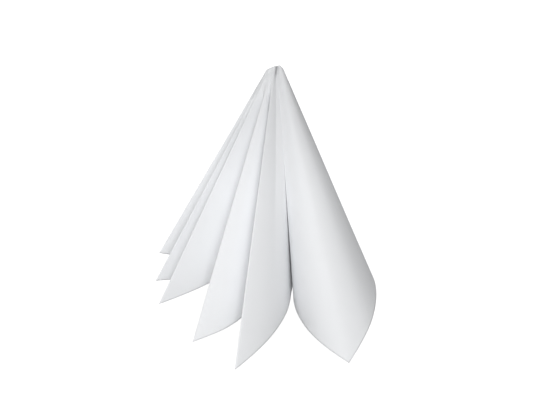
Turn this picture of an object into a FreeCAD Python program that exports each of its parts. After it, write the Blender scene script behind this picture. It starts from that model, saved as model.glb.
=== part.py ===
import FreeCAD, Part
import math
import os

# Folded paper napkin, one square sheet pinched at its centre and hung into upright pleats.
# The sheet is a cone with sharp folds: every fold and every ruling is a straight line that
# points at one spot just above the gathered top. Each fold has a turn (degrees round the
# upright axis, 0 at the front, positive to the right), a lean (degrees away from the axis)
# and a reach (length along the fold from that spot down to the hem, in mm, on a sheet whose
# side is drawn_side).

os.makedirs("parts", exist_ok=True)
doc = FreeCAD.newDocument("napkin")

# Sizes of the sheet
sizes = [
    ("sheet_side", 400.0, "side of the square sheet laid flat"),
    ("paper_thickness", 0.4, "thickness of the soft paper"),
    ("crown_depth", 12.5, "depth of the blunt top below the spot"),
    ("ceiling_depth", 24.0, "depth of the end of the hollow below the spot"),
    ("slit_depth", 92.0, "depth below the spot where the lapped slit closes"),
    ("strip_angle", 1.6, "angle at the spot between two rulings of a rounded panel"),
    ("pressed_length", 2.6, "length over which the lapped flap is pressed to the panel behind it"),
]

# Side of the sheet on which the reaches below were drawn
drawn_side = 400.0

# Folds and shape rulings, in order round the sheet: name, turn, lean, reach.
# A reach of 0 means the hem runs straight past that line in the flat sheet.
lines = [
    ("groove_right", 82.0, 12.5, 214.0),
    ("bulge_back", 94.0, 18.4, 0.0),
    ("bulge_side", 78.7, 23.1, 0.0),
    ("bulge_front", 60.0, 25.9, 0.0),
    ("bulge_corner", 43.6, 26.6, 0.0),
    ("corner_right", 32.6, 25.1, 291.2),
    ("flap_outer", 24.6, 21.1, 0.0),
    ("flap_inner", 19.9, 15.3, 0.0),
    ("lap_front", 25.9, 9.0, 0.0),
    ("groove_deep", 118.6, 10.8, 214.0),
    ("panel_back", 54.7, 5.5, 0.0),
    ("lap_behind", 23.7, 8.6, 0.0),
    ("panel_middle", 14.5, 11.8, 0.0),
    ("panel_front", -3.3, 18.4, 0.0),
    ("tip_front", -18.0, 25.1, 291.1),
    ("groove_front", 90.0, 0.7, 228.0),
    ("pleat_back", -35.0, 7.0, 0.0),
    ("pleat_middle", -32.0, 13.3, 0.0),
    ("pleat_front", -37.7, 18.4, 0.0),
    ("tip_left_front", -48.3, 22.1, 280.5),
    ("groove_left_front", -129.8, 9.0, 216.0),
    ("pleat_left", -87.4, 15.2, 0.0),
    ("tip_left", -81.3, 25.0, 272.0),
    ("groove_left", -110.3, 16.7, 247.0),
    ("tip_left_middle", -94.6, 26.8, 262.5),
    ("groove_left_middle", -117.0, 21.0, 241.0),
    ("tip_left_back", -109.1, 29.4, 250.8),
    ("groove_left_back", -131.6, 21.2, 222.0),
    ("tip_back_left", -145.6, 25.1, 291.0),
    ("groove_back_left", -145.9, 11.8, 214.0),
    ("tip_back", -178.5, 22.0, 250.0),
    ("groove_back_right", 150.9, 11.9, 214.0),
    ("tip_back_right", 146.4, 25.1, 291.0),
]

# Spreadsheet with one named cell for each size
sheet = doc.addObject("Spreadsheet::Sheet", "Sizes")
row = 1
for name, value, meaning in sizes:
    sheet.set("A%d" % row, name)
    sheet.set("B%d" % row, str(value))
    sheet.setAlias("B%d" % row, name)
    sheet.set("C%d" % row, meaning)
    row = row + 1
for name, turn, lean, reach in lines:
    for ending, value in (("turn", turn), ("lean", lean), ("reach", reach)):
        sheet.set("A%d" % row, name + " " + ending)
        sheet.set("B%d" % row, str(value))
        sheet.setAlias("B%d" % row, name + "_" + ending)
        row = row + 1
doc.recompute()

half = float(sheet.get("paper_thickness")) / 2.0
hem_scale = float(sheet.get("sheet_side")) / drawn_side
crown_depth = float(sheet.get("crown_depth"))
ceiling_depth = float(sheet.get("ceiling_depth"))
slit_depth = float(sheet.get("slit_depth"))
strip_angle = math.radians(float(sheet.get("strip_angle")))
pressed_length = float(sheet.get("pressed_length"))

# Lines that are not sharp folds: the sheet passes smoothly through them
soft = set(["bulge_back", "bulge_side", "bulge_front", "bulge_corner", "corner_right",
            "flap_outer", "flap_inner", "panel_back", "lap_behind", "panel_middle",
            "panel_front", "pleat_back", "pleat_middle", "pleat_front", "pleat_left"])

# Soft lines at which a face ends all the same
splits = set(["corner_right", "lap_behind"])


# Direction of a line as a unit vector pointing down from the spot
def direction(name):
    turn = math.radians(float(sheet.get(name + "_turn")))
    lean = math.radians(float(sheet.get(name + "_lean")))
    out = math.sin(lean)
    return FreeCAD.Vector(out * math.sin(turn), -out * math.cos(turn), -math.cos(lean))


def angle(first, second):
    return math.acos(max(-1.0, min(1.0, first.dot(second))))


def unit(vector):
    return vector * (1.0 / vector.Length)


# Smooth run of unit vectors through the given ones, and the place of each given one in it
def smooth_run(ways):
    last = len(ways) - 1
    if last == 1:
        return [ways[0], ways[1]], [0, 1]
    slopes = [None] * (last + 1)
    for i in range(1, last):
        a = (ways[i] - ways[i - 1]).Length
        b = (ways[i + 1] - ways[i]).Length
        before = (ways[i] - ways[i - 1]) * (b / a)
        after = (ways[i + 1] - ways[i]) * (a / b)
        slopes[i] = (before + after) * (1.0 / (a + b))
    a = (ways[1] - ways[0]).Length
    slopes[0] = (ways[1] - ways[0]) * (2.0 / a) - slopes[1]
    b = (ways[last] - ways[last - 1]).Length
    slopes[last] = (ways[last] - ways[last - 1]) * (2.0 / b) - slopes[last - 1]
    run = []
    places = []
    for i in range(last):
        length = (ways[i + 1] - ways[i]).Length
        count = max(2, int(round(length / strip_angle)))
        places.append(len(run))
        for k in range(count):
            s = k / float(count)
            point = ways[i] * (2 * s**3 - 3 * s**2 + 1) + slopes[i] * (length * (s**3 - 2 * s**2 + s))
            point = point + ways[i + 1] * (3 * s**2 - 2 * s**3) + slopes[i + 1] * (length * (s**3 - s**2))
            run.append(unit(point))
    places.append(len(run))
    run.append(ways[last])
    return run, places


# Part of the sheet between two sharp folds or splits: its rulings, the angle walked round the
# flat sheet to each of them, and the outward normal of each flat strip
class Panel:
    def __init__(self, ways, start, begin_name, end_name):
        self.ways = ways
        self.names = (begin_name, end_name)
        self.at = [start]
        self.normals = []
        for i in range(1, len(ways)):
            self.at.append(self.at[-1] + angle(ways[i - 1], ways[i]))
            self.normals.append(unit((ways[i] - ways[i - 1]).cross(ways[i])))


order = [entry[0] for entry in lines]
sharp = [i for i in range(len(order)) if order[i] not in soft]
panels = []
corners = []
position = 0.0
for index in range(len(sharp)):
    first = sharp[index]
    last = sharp[(index + 1) % len(sharp)]
    if last <= first:
        last = last + len(order)
    members = [order[i % len(order)] for i in range(first, last + 1)]
    run, places = smooth_run([direction(name) for name in members])
    cuts = [0]
    for i in range(1, len(members) - 1):
        if members[i] in splits:
            cuts.append(i)
    cuts.append(len(members) - 1)
    for i in range(len(cuts) - 1):
        low = cuts[i]
        high = cuts[i + 1]
        ways = run[places[low]:places[high] + 1]
        panels.append(Panel(ways, position, members[low], members[high]))
        reach = float(sheet.get(members[low] + "_reach")) * hem_scale
        if reach > 0:
            corners.append((position, reach))
        position = panels[-1].at[-1]
whole_turn = position


# Reach of the hem: a straight line in the flat sheet from one hem corner to the next
def hem_reach(at):
    for i in range(len(corners)):
        low, low_reach = corners[i]
        high, high_reach = corners[(i + 1) % len(corners)]
        if i == len(corners) - 1:
            high = high + whole_turn
        if low - 1e-9 <= at <= high + 1e-9:
            a = math.sin(at - low) * low_reach
            b = math.sin(high - at) * high_reach
            return low_reach * high_reach * math.sin(high - low) / (a + b)
    raise ValueError("no hem at %f" % at)


# Offset from a ruling to one face of the paper, where the strips on both sides of it meet
def mitre(before, after, sign):
    return (before + after) * (sign * half / (1.0 + before.dot(after)))


# Offsets of the two faces of the paper at every fold: a mitre on the closed side of a
# sharp fold, and a narrow flat of one paper thickness on its open side
class Fold:
    def __init__(self, before, after):
        self.way = before.ways[-1]
        self.at = before.at[-1]
        self.name = before.names[1]
        self.reach = hem_reach(self.at)
        n_before = before.normals[-1]
        n_after = after.normals[0]
        bend = n_before.cross(n_after).dot(self.way)
        narrow = n_before.dot(n_after) < -0.4
        self.sides = {}
        for sign in (1, -1):
            # a positive bend opens towards the outer face
            if narrow and bend * sign > 0:
                self.sides[sign] = (n_before * (sign * half), n_after * (sign * half))
            else:
                both = mitre(n_before, n_after, sign)
                self.sides[sign] = (both, both)


folds = []
by_name = {}
for i in range(len(panels)):
    folds.append(Fold(panels[i], panels[(i + 1) % len(panels)]))
    by_name[folds[-1].name] = folds[-1]


# Point on a ruling of one face at a given depth below the spot
def at_depth(way, offset, depth):
    return way * ((-depth - offset.z) / way.z) + offset


# The lapped flap and the panel behind it meet in one point at the blunt top
meeting = set(["lap_front", "lap_behind"])
meeting_point = FreeCAD.Vector(0, 0, 0)
for name in meeting:
    fold = by_name[name]
    meeting_point = meeting_point + at_depth(fold.way, fold.sides[1][0], crown_depth) * 0.5


# Length that a mitre takes up along the panel
def taken_up(offset):
    return math.sqrt(max(0.0, offset.Length**2 - half**2))


# Points along one face of a panel, at a level or along the hem. A ruling that falls inside the
# mitre of a narrow fold ends in the fold's own point.
def panel_points(index, sign, depth):
    panel = panels[index]
    start = folds[index - 1].sides[sign][1]
    end = folds[index].sides[sign][0]
    top = len(panel.ways) - 1
    points = []
    for i in range(top + 1):
        if i == 0:
            offset = start
        elif i == top:
            offset = end
        else:
            offset = mitre(panel.normals[i - 1], panel.normals[i], sign)
        if depth is None:
            points.append(panel.ways[i] * hem_reach(panel.at[i]) + offset)
        else:
            points.append(at_depth(panel.ways[i], offset, depth))
    if depth is None:
        return points
    start_gap = 1.1 * taken_up(start)
    end_gap = 1.1 * taken_up(end)
    if depth == crown_depth and panel.names[0] in meeting:
        start_gap = pressed_length
        points[0] = meeting_point
    if depth == crown_depth and panel.names[1] in meeting:
        end_gap = pressed_length
        points[top] = meeting_point
    for i in range(1, top):
        if (panel.at[i] - panel.at[0]) * depth < start_gap:
            points[i] = points[0]
        elif (panel.at[top] - panel.at[i]) * depth < end_gap:
            points[i] = points[top]
    return points


def flat_face(corner_points):
    kept = []
    for point in corner_points:
        if not kept or (point - kept[-1]).Length > 1e-7:
            kept.append(point)
    if (kept[0] - kept[-1]).Length < 1e-7:
        kept.pop()
    return Part.Face(Part.makePolygon(kept + [kept[0]]))


# Faces between two rows of points, flat ones where the four corners agree, else two triangles
def strips(high, low):
    found = []
    for i in range(len(high) - 1):
        a, b, c, d = high[i], high[i + 1], low[i + 1], low[i]
        across = (c - a).cross(d - b)
        if (a - b).Length < 1e-7 and (c - d).Length < 1e-7:
            continue
        if (a - b).Length < 1e-7:
            found.append(flat_face([a, c, d]))
        elif abs((b - a).dot(across)) < 1e-7 * across.Length:
            found.append(flat_face([a, b, c, d]))
        else:
            found.append(flat_face([a, b, c]))
            found.append(flat_face([a, c, d]))
    return found


faces = []
crown_rim = []
slit_rim = []
ceiling_rim = []
count = len(panels)
for i in range(count):
    fold = folds[i]
    hidden = "groove_deep" in panels[i].names
    hem = {1: panel_points(i, 1, None), -1: panel_points(i, -1, None)}
    slit = panel_points(i, 1, slit_depth)
    ceiling = panel_points(i, -1, ceiling_depth)
    faces.extend(strips(slit, hem[1]))
    faces.extend(strips(ceiling, hem[-1]))
    faces.extend(strips(hem[1], hem[-1]))
    ceiling_rim.extend(ceiling)
    if hidden:
        slit_rim.extend(slit)
    else:
        crown = panel_points(i, 1, crown_depth)
        faces.extend(strips(crown, slit))
        crown_rim.extend(crown)
    # the narrow flat along the open side of the fold, with its small end at the hem
    for sign in (1, -1):
        one, two = fold.sides[sign]
        if (one - two).Length < 1e-6:
            continue
        levels = []
        for depth in ([crown_depth, slit_depth] if sign > 0 else [ceiling_depth]):
            levels.append([at_depth(fold.way, one, depth), at_depth(fold.way, two, depth)])
        foot = fold.way * fold.reach
        levels.append([foot + one, foot + two])
        for k in range(len(levels) - 1):
            faces.extend(strips(levels[k], levels[k + 1]))
        faces.append(flat_face(levels[-1] + [foot + fold.sides[-sign][0]]))

# The slit between the lapped flap and the panel behind it is pressed shut near the top
front_low = at_depth(by_name["lap_front"].way, by_name["lap_front"].sides[1][0], slit_depth)
behind_low = at_depth(by_name["lap_behind"].way, by_name["lap_behind"].sides[1][0], slit_depth)
faces.append(flat_face([meeting_point, behind_low, front_low]))
faces.append(flat_face(slit_rim))

# Blunt top, and the end of the hollow under it
faces.append(flat_face(crown_rim))
faces.append(flat_face(ceiling_rim))

shell = Part.makeShell(faces)
shell.sewShape(1e-5)
solid = Part.makeSolid(shell)
if solid.Volume < 0:
    solid.reverse()

napkin = doc.addObject("Part::Feature", "napkin")
napkin.Label = "napkin"
napkin.Shape = solid
box = solid.optimalBoundingBox(False, False)
middle_x = (box.XMin + box.XMax) / 2.0
middle_y = (box.YMin + box.YMax) / 2.0
napkin.Placement = FreeCAD.Placement(FreeCAD.Vector(-middle_x, -middle_y, -box.ZMin), FreeCAD.Rotation())
doc.recompute()

area = 0.0
for panel in panels:
    for i in range(len(panel.ways) - 1):
        a = hem_reach(panel.at[i])
        b = hem_reach(panel.at[i + 1])
        area = area + 0.5 * a * b * math.sin(panel.at[i + 1] - panel.at[i])
print("turn of the sheet %.1f degrees, one side of the paper %.0f mm2" % (math.degrees(whole_turn), area))
print("spot at %.3f %.3f %.3f" % (-middle_x, -middle_y, -box.ZMin))

for item in doc.Objects:
    if "Invalid" in item.State or "Error" in item.State:
        raise RuntimeError("object %s failed" % item.Name)
shape = napkin.Shape
print("faces", len(shape.Faces), "closed", shell.isClosed(), "valid", shape.isValid(), "solids", len(shape.Solids))
print("volume %.0f box %s" % (shape.Volume, shape.BoundBox))
if shape.isNull() or not shape.isValid() or len(shape.Solids) != 1:
    raise RuntimeError("napkin is not one valid solid")
shape.exportStep("parts/napkin.step")
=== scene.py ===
# %% [markdown]
# Paper napkin hung in upright pleats. One square sheet of soft white paper is pinched at its
# centre and lowered onto a table, so that it falls into pleats and stands on its lower points.
# Only its mesh, its paper and the plain studio round it are made here. The frame, its size and
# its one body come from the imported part, so the first step loads them.

import math
import bpy
import numpy as np
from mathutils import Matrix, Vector


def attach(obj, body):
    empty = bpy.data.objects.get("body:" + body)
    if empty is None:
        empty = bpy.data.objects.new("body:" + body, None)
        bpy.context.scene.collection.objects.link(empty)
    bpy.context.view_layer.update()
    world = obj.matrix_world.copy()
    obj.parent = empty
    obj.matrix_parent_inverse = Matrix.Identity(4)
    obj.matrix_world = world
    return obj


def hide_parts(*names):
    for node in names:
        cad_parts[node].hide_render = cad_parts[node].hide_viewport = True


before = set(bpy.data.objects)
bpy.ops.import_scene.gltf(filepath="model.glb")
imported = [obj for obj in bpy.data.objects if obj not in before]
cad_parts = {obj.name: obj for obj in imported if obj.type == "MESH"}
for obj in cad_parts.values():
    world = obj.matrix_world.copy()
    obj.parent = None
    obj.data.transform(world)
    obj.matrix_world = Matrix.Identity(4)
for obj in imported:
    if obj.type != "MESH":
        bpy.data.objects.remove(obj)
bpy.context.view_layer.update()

# %% [markdown]
# A sheet pinched at one point is a cone: every crease and every straight line in it aims at one
# spot just above the pinch. So the whole shape can be told by a closed line drawn on a small
# ball round that spot. Each crease has a turn round the upright axis (0 at the front, positive to
# the right), a lean away from the axis and a reach, its length from the spot to the hem. Between
# creases a few more directions give the swell of a panel; their reach is 0, because the hem there
# is simply straight in the flat sheet. The same values drive the solid part. A cloth simulation
# could drop such a sheet too, but its folds would land by chance, away from those of the part.

# %% Creases and swells of the sheet
MM = 0.001
PAPER_THICKNESS = 0.4 * MM
CREASES = [
    ("groove_right", 82.0, 12.5, 214.0),
    ("bulge_back", 94.0, 18.4, 0.0),
    ("bulge_side", 78.7, 23.1, 0.0),
    ("bulge_front", 60.0, 25.9, 0.0),
    ("bulge_corner", 43.6, 26.6, 0.0),
    ("corner_right", 32.6, 25.1, 291.2),
    ("flap_outer", 24.6, 21.1, 0.0),
    ("flap_inner", 19.9, 15.3, 0.0),
    ("lap_front", 25.9, 9.0, 0.0),
    ("groove_deep", 118.6, 10.8, 214.0),
    ("panel_back", 54.7, 5.5, 0.0),
    ("lap_behind", 23.7, 8.6, 0.0),
    ("panel_middle", 14.5, 11.8, 0.0),
    ("panel_front", -3.3, 18.4, 0.0),
    ("tip_front", -18.0, 25.1, 291.1),
    ("groove_front", 90.0, 0.7, 228.0),
    ("pleat_back", -35.0, 7.0, 0.0),
    ("pleat_middle", -32.0, 13.3, 0.0),
    ("pleat_front", -37.7, 18.4, 0.0),
    ("tip_left_front", -48.3, 22.1, 280.5),
    ("groove_left_front", -129.8, 9.0, 216.0),
    ("pleat_left", -87.4, 15.2, 0.0),
    ("tip_left", -81.3, 25.0, 272.0),
    ("groove_left", -110.3, 16.7, 247.0),
    ("tip_left_middle", -94.6, 26.8, 262.5),
    ("groove_left_middle", -117.0, 21.0, 241.0),
    ("tip_left_back", -109.1, 29.4, 250.8),
    ("groove_left_back", -131.6, 21.2, 222.0),
    ("tip_back_left", -145.6, 25.1, 291.0),
    ("groove_back_left", -145.9, 11.8, 214.0),
    ("tip_back", -178.5, 22.0, 250.0),
    ("groove_back_right", 150.9, 11.9, 214.0),
    ("tip_back_right", 146.4, 25.1, 291.0),
]
SWELLS = {"bulge_back", "bulge_side", "bulge_front", "bulge_corner", "corner_right", "flap_outer",
          "flap_inner", "panel_back", "lap_behind", "panel_middle", "panel_front", "pleat_back",
          "pleat_middle", "pleat_front", "pleat_left"}


def direction(turn, lean):
    turn, lean = math.radians(turn), math.radians(lean)
    right, front, down = math.sin(lean) * math.sin(turn), math.sin(lean) * math.cos(turn), math.cos(lean)
    return np.array([right, -front, -down])


print("creases and swells:", len(CREASES))

# %% [markdown]
# A panel between two creases is a smooth curve through its directions. Straight pieces would look
# like card, so a cubic curve is used, whose slopes come from the neighbours. Where a panel has no
# direction between its creases, it is flat.

# %% Curves through the directions of a panel
COLUMN_STEP = math.radians(1.0)
LEAST_COLUMNS = 3


def unit(vector):
    return vector / np.linalg.norm(vector)


def angle(a, b):
    return math.atan2(np.linalg.norm(np.cross(a, b)), float(np.dot(a, b)))


def straight_run(start, end):
    count = max(LEAST_COLUMNS, round(angle(start, end) / COLUMN_STEP))
    run = [unit(start * (1 - k / count) + end * (k / count)) for k in range(count)]
    return run + [end], [0]


def slopes_through(ways):
    last = len(ways) - 1
    slopes = [None] * (last + 1)
    for i in range(1, last):
        a = np.linalg.norm(ways[i] - ways[i - 1])
        b = np.linalg.norm(ways[i + 1] - ways[i])
        slopes[i] = ((ways[i] - ways[i - 1]) / a * b + (ways[i + 1] - ways[i]) / b * a) / (a + b)
    slopes[0] = 2 * unit(ways[1] - ways[0]) - slopes[1]
    slopes[last] = 2 * unit(ways[last] - ways[last - 1]) - slopes[last - 1]
    return slopes


def smooth_run(ways):
    if len(ways) == 2:
        return straight_run(*ways)
    slopes = slopes_through(ways)
    run, places = [], []
    for i in range(len(ways) - 1):
        length = np.linalg.norm(ways[i + 1] - ways[i])
        count = max(LEAST_COLUMNS, round(length / COLUMN_STEP))
        places.append(len(run))
        for k in range(count):
            s = k / count
            point = ways[i] * (2 * s**3 - 3 * s**2 + 1)
            point = point + slopes[i] * (length * (s**3 - 2 * s**2 + s))
            point = point + ways[i + 1] * (3 * s**2 - 2 * s**3)
            point = point + slopes[i + 1] * (length * (s**3 - s**2))
            run.append(unit(point))
    return run + [ways[-1]], places


print("one column every %.1f degrees" % math.degrees(COLUMN_STEP))

# %% [markdown]
# Soft paper swells out where nothing presses on it. The panel to the right of the long front
# point gets such a belly: it moves out by a share of its depth, most near the middle and nothing
# at its two ends. The directions get it before the walk round the sheet, not the finished mesh,
# so that the walk measures the swollen panel.

# %% Belly of a panel
BELLY_HEIGHT, BELLY_LEAN = 0.014, 0.8


def plan(way):
    return np.array([-way[0] / way[2], -way[1] / way[2]])


def swell(run, low, high):
    across = plan(run[low]) - plan(run[high])
    out = np.array([across[1], -across[0]]) / np.linalg.norm(across)
    for k in range(low, high):
        share = ((high - k) / (high - low)) ** BELLY_LEAN
        place = plan(run[k]) + out * (BELLY_HEIGHT * math.sin(math.pi * share))
        run[k] = unit(np.array([place[0], place[1], -1.0]))


print("belly of %.1f mm for every 100 mm of depth" % (BELLY_HEIGHT * 100))

# %% [markdown]
# Walking once round the closed line gives the columns of the mesh. The angle walked so far is
# kept with each column, because in the flat sheet that angle is the bearing of the column seen
# from the centre. It is what makes the hem and the paper's map come out right later.

# %% Walk once round the sheet
BELLY_ENDS_AT = "tip_front"
ways, bearings, corners, crease_bearings, bearing_of = [], [], [], [], {}
bearing = 0.0
sharp = [i for i, crease in enumerate(CREASES) if crease[0] not in SWELLS]
for first, last in zip(sharp, sharp[1:] + [sharp[0] + len(CREASES)]):
    members = [CREASES[i % len(CREASES)] for i in range(first, last + 1)]
    run, places = smooth_run([direction(turn, lean) for _, turn, lean, _ in members])
    named = dict(zip(places, members))
    if members[-1][0] == BELLY_ENDS_AT:
        swell(run, places[-2], len(run) - 1)
    crease_bearings.append(bearing)
    for k in range(len(run) - 1):
        if k in named:
            name, _, _, reach = named[k]
            bearing_of[name] = bearing
            if reach:
                corners.append((bearing, reach * MM))
        ways.append(run[k])
        bearings.append(bearing)
        bearing += angle(run[k], run[k + 1])
WHOLE_TURN = bearing
print("columns %d, sheet turns %.1f degrees round its centre" % (len(ways), math.degrees(WHOLE_TURN)))

# %% [markdown]
# Napkin paper has no knife-sharp creases. A Bevel modifier could round them all by one width.
# Here a short curve cuts each corner by an angle instead, so the round is tight near the pinch
# and softer at the hem, just as on a real sheet.

# %% Round the creases
CREASE_CUT = math.radians(0.42)
CLEAR_OF_CREASE = 1.5 * CREASE_CUT
ROUND_STEPS = 5


def way_at(at):
    at = at % WHOLE_TURN
    k = int(np.searchsorted(bearings, at, side="right")) - 1
    low = bearings[k]
    high = bearings[k + 1] if k + 1 < len(bearings) else WHOLE_TURN
    s = (at - low) / (high - low)
    return unit(ways[k] * (1 - s) + ways[(k + 1) % len(ways)] * s)


columns = []
for at, way in zip(bearings, ways):
    near = min(min(abs(at - c), WHOLE_TURN - abs(at - c)) for c in crease_bearings)
    if near > CLEAR_OF_CREASE:
        columns.append((at, way))
for crease in crease_bearings:
    corner = way_at(crease)
    before, after = way_at(crease - CREASE_CUT), way_at(crease + CREASE_CUT)
    for k in range(ROUND_STEPS + 1):
        s = k / ROUND_STEPS
        point = before * (1 - s) ** 2 + corner * (2 * s * (1 - s)) + after * s**2
        columns.append(((crease + CREASE_CUT * (2 * s - 1)) % WHOLE_TURN, unit(point)))
columns.sort(key=lambda column: column[0])
ats = np.array([column[0] for column in columns])
way_grid = np.array([column[1] for column in columns])
print("columns with rounded creases", len(columns))

# %% [markdown]
# The hem of the flat sheet is straight from corner to corner. Seen from the centre, the reach of
# a straight line between two bearings has a simple formula, used here for every column.

# %% Reach of the hem
BEARING_SLACK = 1e-9


def hem_reach(at):
    for (low, low_reach), (high, high_reach) in zip(corners, corners[1:] + corners[:1]):
        if high <= low:
            high += WHOLE_TURN
        for place in (at, at + WHOLE_TURN):
            if low - BEARING_SLACK <= place <= high + BEARING_SLACK:
                a = math.sin(place - low) * low_reach
                b = math.sin(high - place) * high_reach
                return low_reach * high_reach * math.sin(high - low) / (a + b)
    raise ValueError("no hem at this bearing")


reaches = np.array([hem_reach(at) for at in ats])
print("hem reach from %.0f to %.0f mm" % (reaches.min() / MM, reaches.max() / MM))

# %% [markdown]
# Where the sheet is pinched its pleats are pressed flat against each other, so near the top each
# valley is filled out to the straight line between the ridges on its two sides. Lower down it
# opens, each valley between its own two depths. Many thin plies could be modelled there instead,
# but only the lines between them would show, and a filled valley has those. The two sides of the
# slit beside the round pleat close on two chosen places, so that they lie on each other.

# %% Fill the valleys near the top
LAP_FRONT_MEETS, LAP_BEHIND_MEETS = (0.0735, -0.322), (0.0715, -0.322)
LAP_OPENS = (50 * MM, 250 * MM)
# Outside every valley nothing is filled, so these two depths only have to differ
OPENS_OUTSIDE_VALLEYS = (20 * MM, 21 * MM)
# Each row is the ridge before, its chosen place or None, the ridge after, its chosen place or
# None, and the two depths between which the valley opens
VALLEYS = [
    ("flap_outer", None, "lap_front", LAP_FRONT_MEETS, *LAP_OPENS),
    ("lap_front", LAP_FRONT_MEETS, "groove_deep", None, *LAP_OPENS),
    ("panel_back", None, "lap_behind", LAP_BEHIND_MEETS, *LAP_OPENS),
    ("lap_behind", LAP_BEHIND_MEETS, "panel_front", None, *LAP_OPENS),
    ("tip_front", None, "tip_left_front", None, 16 * MM, 70 * MM),
    ("tip_left_front", None, "tip_left", None, 26 * MM, 66 * MM),
    ("tip_left", None, "tip_left_middle", None, 34 * MM, 84 * MM),
    ("tip_left_middle", None, "tip_left_back", None, 34 * MM, 90 * MM),
    ("tip_left_back", None, "tip_back_left", None, 22 * MM, 90 * MM),
    ("tip_back_left", None, "tip_back", None, 22 * MM, 90 * MM),
    ("tip_back", None, "tip_back_right", None, 22 * MM, 90 * MM),
    ("tip_back_right", None, "bulge_back", None, 22 * MM, 90 * MM),
]
flat_ways = way_grid[:, :2] / -way_grid[:, 2:3]
filled_ways = flat_ways.copy()
opens_from, opens_to = (np.full(len(ats), depth) for depth in OPENS_OUTSIDE_VALLEYS)
for before, before_place, after, after_place, shallow, deep in VALLEYS:
    width = (bearing_of[after] - bearing_of[before]) % WHOLE_TURN
    share = ((ats - bearing_of[before]) % WHOLE_TURN) / width
    inside = share <= 1
    low_place = np.array(before_place or plan(way_at(bearing_of[before])))
    high_place = np.array(after_place or plan(way_at(bearing_of[after])))
    filled_ways[inside] = low_place + (high_place - low_place) * share[inside, None]
    opens_from[inside], opens_to[inside] = shallow, deep
print("columns in valleys", int((filled_ways != flat_ways).any(axis=1).sum()))

# %% [markdown]
# One pleat end stays open at the front of the top: a narrow pocket that leans to the left on its
# way down and dies out. A true opening would need the plies behind it, so the pocket is a dent in
# the pressed surface, and its dark inside is painted shade that the paper gets later.

# %% Pocket at the front of the top
PRESS_SHARE = 0.94
POCKET_TOP_TURN, POCKET_LOW_TURN = math.radians(13.0), math.radians(-5.0)
POCKET_HALF_WIDTH, POCKET_LEAST_SHARE = math.radians(12.0), 0.4
POCKET_TOP, POCKET_BEND, POCKET_END, POCKET_CUT = 10.0 * MM, 17.0 * MM, 25.0 * MM, 0.85


def step(low, high, value):
    s = np.clip((value - low) / (high - low), 0.0, 1.0)
    return s * s * (3 - 2 * s)


def pocket_at(depths, places):
    high = 1 - step(POCKET_TOP, POCKET_BEND, depths)
    middle_turn = POCKET_LOW_TURN + (POCKET_TOP_TURN - POCKET_LOW_TURN) * high
    open_share = 1 - step(POCKET_TOP, POCKET_END, depths)
    half_width = POCKET_HALF_WIDTH * (POCKET_LEAST_SHARE + (1 - POCKET_LEAST_SHARE) * open_share)
    turns = np.arctan2(places[:, 0], -places[:, 1])
    return np.exp(-(((turns - middle_turn) / half_width) ** 2)) * open_share


def pressed(depths):
    share = PRESS_SHARE * (1 - step(opens_from, opens_to, depths))
    places = flat_ways + (filled_ways - flat_ways) * share[:, None]
    return places * (1 - POCKET_CUT * pocket_at(depths, places))[:, None]


print("pocket from %.0f to %.0f mm below the spot" % (POCKET_TOP / MM, POCKET_END / MM))

# %% [markdown]
# The top is blunt: a small slanting patch that is highest right of the middle of its front edge
# and falls away to the left, to the right and to the back. Where each column meets the patch
# isn't known at first, because the pleats are pressed by depth, so its depth is put back in again
# and again until it settles.

# %% Blunt top and its rim
SPOT = np.array([12.111, 7.330, 263.852]) * MM
PEAK_DEPTH, PEAK_X, PEAK_Y = 9.3 * MM, 2.7 * MM, -5.5 * MM
FALL_LEFT, FALL_RIGHT, FALL_BACK = 0.27, 0.95, 0.50
RIM_ROUNDS = 30


def top_depth(place):
    x, y = place[:, 0], place[:, 1]
    fall = FALL_LEFT * np.maximum(0, PEAK_X - x) + FALL_RIGHT * np.maximum(0, x - PEAK_X)
    return PEAK_DEPTH + fall + FALL_BACK * (y - PEAK_Y)


rim = np.full(len(ats), PEAK_DEPTH)
for _ in range(RIM_ROUNDS):
    rim = top_depth(pressed(rim) * rim[:, None])
rim_place = pressed(rim) * rim[:, None]
print("rim from %.1f to %.1f mm below the spot" % (rim.min() / MM, rim.max() / MM))

# %% [markdown]
# Each column crosses the patch, turns over its rim and runs down the pleats to the hem. Rows are
# close together round the rim and at the hem, where the edge has to look crisp.

# %% Rows from the top to the hem
PATCH_SHARES = (0.08, 0.25, 0.42, 0.58, 0.72)
RIM_INSIDE, RIM_BELOW, RIM_STEPS = 0.91, 1.07, 4
WALL_TOP = 30.0 * MM
SHOULDER_ROWS, WALL_ROWS = 7, 62
CROWDED_SHARE, HEM_CROWDING = 0.5, 1.6


def on_patch(share):
    return np.column_stack([rim_place * share, -top_depth(rim_place * share)])


def on_wall(depths):
    return np.column_stack([pressed(depths) * depths[:, None], -depths])


grid = [on_patch(share) for share in PATCH_SHARES]
corner = np.column_stack([rim_place, -rim])
inside, below = on_patch(RIM_INSIDE), on_wall(rim * RIM_BELOW)
for s in np.linspace(0, 1, RIM_STEPS + 1):
    grid.append(inside * (1 - s) ** 2 + corner * (2 * s * (1 - s)) + below * s**2)
for share in np.linspace(0, 1, SHOULDER_ROWS + 1)[1:]:
    grid.append(on_wall(rim * RIM_BELOW * (1 - share) + WALL_TOP * share))
wall_share = np.linspace(0.0, 1.0, WALL_ROWS + 1)[1:]
crowded = 1 - (1 - wall_share) ** HEM_CROWDING
wall_share = (1 - CROWDED_SHARE) * wall_share + CROWDED_SHARE * crowded
hem_depths = reaches * -way_grid[:, 2]
for share in wall_share:
    grid.append(on_wall(WALL_TOP + (hem_depths - WALL_TOP) * share))
grid = np.array(grid)
print("rows and columns", grid.shape[:2])

# %% [markdown]
# Real paper is never quite flat. Fine crinkles run down from the pinch and die out, and broad
# shallow dents cross the panels. A bump in the material could draw both, but these are wide
# enough to bend the outline a little, so they move the surface along its own normal.

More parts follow.
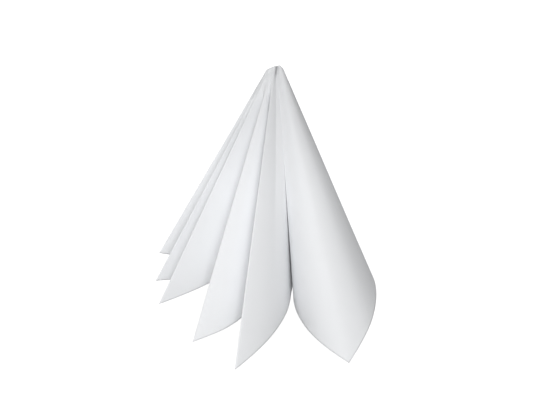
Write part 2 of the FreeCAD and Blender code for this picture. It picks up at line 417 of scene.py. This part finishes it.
# %% Crinkles near the pinch
FULL_WAVE = 6.28
RIPPLE_COUNT = 5
FINE_HEIGHT, FINE_WAVES = 0.22, (50, 90)
WIDE_HEIGHT, WIDE_WAVES = 0.34, (18, 34)
CRINKLE_DEPTH, CRINKLE_SPREAD, SMOOTH_ROWS = 14 * MM, 30 * MM, 8.0
RANDOM_SEED = 7
rng = np.random.default_rng(RANDOM_SEED)


def ripple(at, waves):
    total = np.zeros_like(at)
    for _ in range(RIPPLE_COUNT):
        total += np.sin(at / WHOLE_TURN * 2 * math.pi * rng.integers(*waves) + rng.uniform(0, FULL_WAVE))
    return total / RIPPLE_COUNT


depth_grid = -grid[:, :, 2]
fade = np.exp(-((depth_grid - CRINKLE_DEPTH) / CRINKLE_SPREAD) ** 2)
crinkle = (FINE_HEIGHT * ripple(ats, FINE_WAVES) + WIDE_HEIGHT * ripple(ats, WIDE_WAVES)) * MM * fade
crinkle *= step(0.0, 1.0, np.arange(len(grid))[:, None] / SMOOTH_ROWS)
print("largest crinkle %.2f mm" % (np.abs(crinkle).max() / MM))

# %% [markdown]
# Each dent is a long wave that crosses the sheet in its own direction. Nine of them added up give
# an uneven surface without a clear pattern. They grow with depth, because the paper is pressed
# near the top and free at the hem.

# %% Dents in the panels
DENT_COUNT, DENT_HEIGHT = 9, 0.10 * MM
DENT_WAVES, DENT_TILTS = (16, 42), (-0.5, 0.5)
DENTS_FROM, DENTS_FULL = 60 * MM, 200 * MM
SMALLEST_LENGTH = 1e-12


def normals_of(points):
    along = np.gradient(points, axis=0)
    across = np.roll(points, -1, axis=1) - np.roll(points, 1, axis=1)
    out = np.cross(across, along)
    return out / np.maximum(np.linalg.norm(out, axis=2, keepdims=True), SMALLEST_LENGTH)


dent = np.zeros_like(depth_grid)
for _ in range(DENT_COUNT):
    wave = rng.uniform(*DENT_WAVES)
    aim = rng.uniform(0, 2 * math.pi)
    along = grid[:, :, 0] * math.cos(aim) + grid[:, :, 1] * math.sin(aim)
    along = along + grid[:, :, 2] * rng.uniform(*DENT_TILTS)
    dent += np.sin(along * wave + rng.uniform(0, FULL_WAVE))
dent *= DENT_HEIGHT * step(DENTS_FROM, DENTS_FULL, depth_grid)
middle = grid + normals_of(grid) * (crinkle + dent)[:, :, None]
print("largest dent %.2f mm" % (np.abs(dent).max() / MM))

# %% [markdown]
# The paper gets its thickness from two copies of the middle surface, half a thickness to each
# side. A Solidify modifier could do this too. Made by hand, the corners stay in a known order, so
# the map and the marks of the next steps can be written in one go. The two copies are joined
# along the hem and closed at the crown, so the sheet is one closed skin.

# %% Build the sheet's mesh
CROWN_RISE = 0.05 * MM
OUTER, INNER = 0, 1
rows, cols = middle.shape[:2]
outward = normals_of(middle)
outer = middle + outward * (PAPER_THICKNESS / 2)
inner = middle - outward * (PAPER_THICKNESS / 2)
first_row = middle[0]
crown = np.array([[first_row[:, 0].mean(), first_row[:, 1].mean(), first_row[:, 2].max() + CROWN_RISE]])
crowns = [crown, crown - [[0, 0, PAPER_THICKNESS]]]
points = np.concatenate([outer.reshape(-1, 3), inner.reshape(-1, 3), *crowns]) + SPOT
lowest = points[:, 2].min()
points[:, 2] -= lowest


def vertex(side, row, col):
    return side * rows * cols + row * cols + col % cols


faces = []
for j in range(cols):
    for i in range(rows - 1):
        faces.append((vertex(OUTER, i, j), vertex(OUTER, i + 1, j),
                      vertex(OUTER, i + 1, j + 1), vertex(OUTER, i, j + 1)))
        faces.append((vertex(INNER, i, j), vertex(INNER, i, j + 1),
                      vertex(INNER, i + 1, j + 1), vertex(INNER, i + 1, j)))
    hem = rows - 1
    faces.append((vertex(OUTER, hem, j), vertex(INNER, hem, j),
                  vertex(INNER, hem, j + 1), vertex(OUTER, hem, j + 1)))
    faces.append((2 * rows * cols, vertex(OUTER, 0, j), vertex(OUTER, 0, j + 1)))
    faces.append((2 * rows * cols + 1, vertex(INNER, 0, j + 1), vertex(INNER, 0, j)))

mesh = bpy.data.meshes.new("napkin_sheet")
mesh.from_pydata([tuple(p) for p in points], [], faces)
mesh.polygons.foreach_set("use_smooth", [True] * len(faces))
napkin = bpy.data.objects.new("napkin_sheet", mesh)
bpy.context.scene.collection.objects.link(napkin)
print("vertices %d, faces %d, lifted by %.2f mm" % (len(points), len(faces), -lowest / MM))

# %% [markdown]
# The paper's own map is the flat sheet: each corner of the mesh gets the place it had before the
# sheet was pinched. An ordinary unwrap would need cuts, and the fibres would break at them. On
# this map they follow the paper round its pleats.

# %% Map the flat sheet
along_sheet = np.zeros((rows, cols))
along_sheet[1:] = np.cumsum(np.linalg.norm(np.diff(middle, axis=0), axis=2), axis=0)
flat_x, flat_y = along_sheet * np.cos(ats), along_sheet * np.sin(ats)
flat_map = np.column_stack([flat_x.ravel(), flat_y.ravel()])
flat_map = np.concatenate([flat_map, flat_map, [[0, 0], [0, 0]]])
layer = mesh.uv_layers.new(name="flat_sheet")
loop_vertices = np.empty(len(mesh.loops), dtype=np.int64)
mesh.loops.foreach_get("vertex_index", loop_vertices)
layer.data.foreach_set("uv", flat_map[loop_vertices].ravel())
area = sum(p.area for p in mesh.polygons) / 2
print("one side of the paper %.4f m2" % area)

# %% [markdown]
# Shade is painted on the paper in two places, along its cut edge and inside the pocket. Each gets an
# attribute, a number kept with every corner of the mesh, which a material can read by its name.

# %% Mark the hem and the pocket for painted shade
CROWN_TO_HEM = 0.3
LEAST_DEPTH = 1e-4
hem_distance = (along_sheet[-1][None, :] - along_sheet).ravel()
edge = mesh.attributes.new("hem_distance", "FLOAT", "POINT")
edge.data.foreach_set("value", np.concatenate([hem_distance, hem_distance, [CROWN_TO_HEM] * 2]))
depths = -middle[:, :, 2]
places = middle[:, :, :2] / np.maximum(depths, LEAST_DEPTH)[:, :, None]
# weight of the painted shade inside the pocket
pocket_shade_mask = np.concatenate([pocket_at(depths[row], places[row]) for row in range(rows)])
pocket_shade_attribute = mesh.attributes.new("pocket", "FLOAT", "POINT")
pocket_shade_attribute.data.foreach_set("value", np.concatenate([pocket_shade_mask, pocket_shade_mask, [0.0, 0.0]]))
mesh.update()
print("attributes", edge.name, pocket_shade_attribute.name)

# %% [markdown]
# Shader sums read best as ordinary sums. This small class wraps a socket, so that adding,
# subtracting or multiplying two of them adds the matching Math node.

# %% A value in a shader
class Value:
    def __init__(self, nodes, socket):
        self.nodes, self.socket = nodes, socket

    def sum(self, operation, other, swapped=False):
        node = self.nodes.add("ShaderNodeMath", {"operation": operation})
        pair = (other, self) if swapped else (self, other)
        for socket, value in zip(node.inputs, pair):
            self.nodes.feed(socket, value)
        return Value(self.nodes, node.outputs[0])

    def __add__(self, other):
        return self.sum("ADD", other)

    def __radd__(self, other):
        return self.sum("ADD", other, True)

    def __sub__(self, other):
        return self.sum("SUBTRACT", other)

    def __rsub__(self, other):
        return self.sum("SUBTRACT", other, True)

    def __mul__(self, other):
        return self.sum("MULTIPLY", other)

    def __rmul__(self, other):
        return self.sum("MULTIPLY", other, True)


print("shader values can be added, subtracted and multiplied")

# %% [markdown]
# Every other node comes from one method: it takes the node's type, its settings and what goes
# into its sockets, which is either a plain number or colour or the output of another node.

# %% Nodes of a material
class Nodes:
    def __init__(self, owner):
        owner.use_nodes = True
        self.tree = owner.node_tree
        self.tree.nodes.clear()

    def feed(self, socket, value):
        if isinstance(value, Value):
            self.tree.links.new(value.socket, socket)
        else:
            socket.default_value = value

    def add(self, kind, settings=None, **inputs):
        node = self.tree.nodes.new(kind)
        for name, value in (settings or {}).items():
            setattr(node, name, value)
        for name, value in inputs.items():
            self.feed(node.inputs[name.replace("_", " ")], value)
        return node

    def value(self, node, output=0):
        return Value(self, node.outputs[output])


print("node methods: feed, add and value")

# %% [markdown]
# Napkin paper is soft, white and matte. Its fibres make a very fine uneven surface, which is a
# bump here, and a slight cloudiness, which is a small change of colour. A thin line of painted
# shade runs along the cut edge and stands for the shade at the paper's thin edge. Painted shade also
# darkens the plies that lie close together at the pinch and the inside of the pocket.

# %% Where shade is painted on the paper
EDGE_WIDTH = 0.0011
PINCH_FROM, PINCH_TO = 0.01, 0.14
paper = bpy.data.materials.new("soft_white_paper")
nodes = Nodes(paper)
sheet_map = nodes.value(nodes.add("ShaderNodeUVMap", {"uv_map": "flat_sheet"}))
fibres = nodes.value(nodes.add("ShaderNodeTexNoise", Vector=sheet_map, Scale=900.0, Detail=4.0,
                               Roughness=0.6))
clouds = nodes.value(nodes.add("ShaderNodeTexNoise", Vector=sheet_map, Scale=60.0, Detail=3.0,
                               Roughness=0.5))
from_hem = nodes.value(nodes.add("ShaderNodeAttribute", {"attribute_name": "hem_distance"}), "Fac")
# painted shade: a thin darker line along the cut edge
hem_shade_mask = nodes.value(nodes.add("ShaderNodeMapRange", Value=from_hem, From_Min=0.0,
                                 From_Max=EDGE_WIDTH, To_Min=1.0, To_Max=0.0))
from_centre = nodes.value(nodes.add("ShaderNodeVectorMath", {"operation": "LENGTH"},
                                    Vector=sheet_map), "Value")
# painted shade near the pinch, where the pressed plies shade each other
pinch_shade_mask = nodes.value(nodes.add("ShaderNodeMapRange", {"interpolation_type": "SMOOTHSTEP"},
                                   Value=from_centre, From_Min=PINCH_FROM, From_Max=PINCH_TO,
                                   To_Min=1.0, To_Max=0.0))
# painted shade inside the pocket, which the lamps in front would otherwise light
pocket_shade_mask = nodes.value(nodes.add("ShaderNodeAttribute", {"attribute_name": "pocket"}), "Fac")
print("nodes for the paper's tone", len(paper.node_tree.nodes))

# %% [markdown]
# The tone goes into a Mix node between black and the white of the paper, because a Math node
# would turn the faint blue of that white into grey. The fibres feed a Bump node, which bends the
# light on the surface and needs no extra faces.

# %% Paper
# HEM_SHADE, PINCH_SHADE and POCKET_SHADE are painted shade; CLOUD_SHADE is the paper's own uneven tone
LIGHTEST, CLOUD_SHADE, HEM_SHADE, PINCH_SHADE, POCKET_SHADE = 0.985, 0.03, 0.16, 0.15, 0.5
BLACK, PAPER_WHITE = (0.0, 0.0, 0.0, 1.0), (0.905, 0.915, 0.93, 1.0)
MIX_SHARE, MIX_FIRST, MIX_SECOND, MIX_RESULT = 0, 6, 7, 2
tone = LIGHTEST + CLOUD_SHADE * clouds - HEM_SHADE * hem_shade_mask
tone = tone - PINCH_SHADE * pinch_shade_mask - POCKET_SHADE * pocket_shade_mask
white = nodes.add("ShaderNodeMix", {"data_type": "RGBA"})
nodes.feed(white.inputs[MIX_SHARE], tone)
nodes.feed(white.inputs[MIX_FIRST], BLACK)
nodes.feed(white.inputs[MIX_SECOND], PAPER_WHITE)
bump = nodes.add("ShaderNodeBump", Strength=0.25, Distance=0.00012, Height=fibres)
shader = nodes.add("ShaderNodeBsdfPrincipled", Base_Color=nodes.value(white, MIX_RESULT), Roughness=0.92,
                   Specular_IOR_Level=0.15, Normal=nodes.value(bump))
nodes.add("ShaderNodeOutputMaterial", Surface=nodes.value(shader))
mesh.materials.append(paper)
print("paper nodes", len(paper.node_tree.nodes))

# %% [markdown]
# The napkin stands on a plain white table. A plane lit by the lamps alone would come out grey and
# uneven, so it also glows, for the camera alone: its open parts come to white, and the soft
# shadow of the napkin still shows.

# %% Table
TABLE_HALF = 6.0
TABLE_GREY, TABLE_GLOW = (0.55, 0.55, 0.55, 1.0), 0.82
WHITE = (1.0, 1.0, 1.0, 1.0)
floor = bpy.data.objects.new("floor", bpy.data.meshes.new("floor"))
floor.data.from_pydata([(-TABLE_HALF, -TABLE_HALF, 0), (TABLE_HALF, -TABLE_HALF, 0),
                        (TABLE_HALF, TABLE_HALF, 0), (-TABLE_HALF, TABLE_HALF, 0)], [], [(0, 1, 2, 3)])
bpy.context.scene.collection.objects.link(floor)
table_white = bpy.data.materials.new("white_table")
nodes = Nodes(table_white)
seen = nodes.value(nodes.add("ShaderNodeLightPath"), "Is Camera Ray")
diffuse = nodes.add("ShaderNodeBsdfDiffuse", Color=TABLE_GREY)
glow = nodes.add("ShaderNodeEmission", Color=WHITE, Strength=TABLE_GLOW * seen)
both = nodes.add("ShaderNodeAddShader")
nodes.feed(both.inputs[0], nodes.value(diffuse))
nodes.feed(both.inputs[1], nodes.value(glow))
nodes.add("ShaderNodeOutputMaterial", Surface=nodes.value(both))
floor.data.materials.append(table_white)
print("table", floor.name, 2 * TABLE_HALF, "m wide")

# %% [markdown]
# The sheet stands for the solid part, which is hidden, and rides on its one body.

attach(napkin, "root")
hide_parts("napkin")
print("declared", napkin.name)

# %% [markdown]
# The surround is white to the camera and in reflections, and dimmer as a light. So it softens the
# shadows between the pleats and doesn't wash them out, as a full white light would.

# %% Surround
WORLD_LIGHT = 0.30
world = bpy.data.worlds.new("surround")
bpy.context.scene.world = world
nodes = Nodes(world)
sees = nodes.add("ShaderNodeLightPath")
clear = nodes.value(sees, "Is Camera Ray") + nodes.value(sees, "Is Glossy Ray")
strength = WORLD_LIGHT + (1.0 - WORLD_LIGHT) * clear
ground = nodes.add("ShaderNodeBackground", Color=WHITE, Strength=strength)
nodes.add("ShaderNodeOutputWorld", Surface=nodes.value(ground))
print("surround", world.name)

# %% [markdown]
# Three large soft lamps light the sheet. The strongest stands in front, so the panels that face
# the viewer are the lightest and the right side of the round pleat turns away and goes grey. A
# weaker one to the left lifts the left pleats, and one behind keeps the back from going dark.

# %% Lamps
LAMP_AIM = (0, 0, 0.1)
# Each row is the name, the place, the size in metres and the power in watts
LAMPS = [
    ("front_lamp", (-0.12, -2.26, 0.82), 1.0, 32.0),
    ("left_lamp", (-2.26, 0.0, 0.82), 1.0, 13.0),
    ("back_lamp", (0.3, 2.2, 1.2), 1.2, 24.0),
]


def soft_lamp(name, place, size, power):
    lamp = bpy.data.objects.new(name, bpy.data.lights.new(name, "AREA"))
    lamp.data.size = size
    lamp.data.energy = power
    lamp.location = place
    away = np.array(place) - np.array(LAMP_AIM)
    lamp.rotation_mode = "QUATERNION"
    lamp.rotation_quaternion = Vector(away).to_track_quat("Z", "Y")
    bpy.context.scene.collection.objects.link(lamp)
    return lamp


lamps = [soft_lamp(*row) for row in LAMPS]
print("lamps", [lamp.name for lamp in lamps])

# %% [markdown]
# The camera looks down a little from the front, where the round pleat and the two front pleats
# face it. It stands several times the napkin's height away, so the near parts don't look too big.

# %% Camera
ELEVATION = math.radians(23.0)
DISTANCE = 1.6
AIM_HEIGHT = 111.53 * MM
PIXELS_PER_METRE, FRAME_WIDTH = 1054.4, 553
SENSOR_WIDTH, SEES_AS_FAR_AS = 36.0, 60.0
camera = bpy.data.objects.new("camera", bpy.data.cameras.new("camera"))
bpy.context.scene.collection.objects.link(camera)
back, height = DISTANCE * math.cos(ELEVATION), DISTANCE * math.sin(ELEVATION)
camera.location = (SPOT[0], SPOT[1] - back, AIM_HEIGHT + height)
camera.rotation_euler = (math.pi / 2 - ELEVATION, 0, 0)
camera.data.sensor_width = SENSOR_WIDTH
camera.data.lens = SENSOR_WIDTH * PIXELS_PER_METRE * DISTANCE / FRAME_WIDTH
camera.data.clip_end = SEES_AS_FAR_AS
bpy.context.scene.camera = camera
bpy.context.scene.view_settings.view_transform = "Standard"
print("lens %.1f mm" % camera.data.lens)
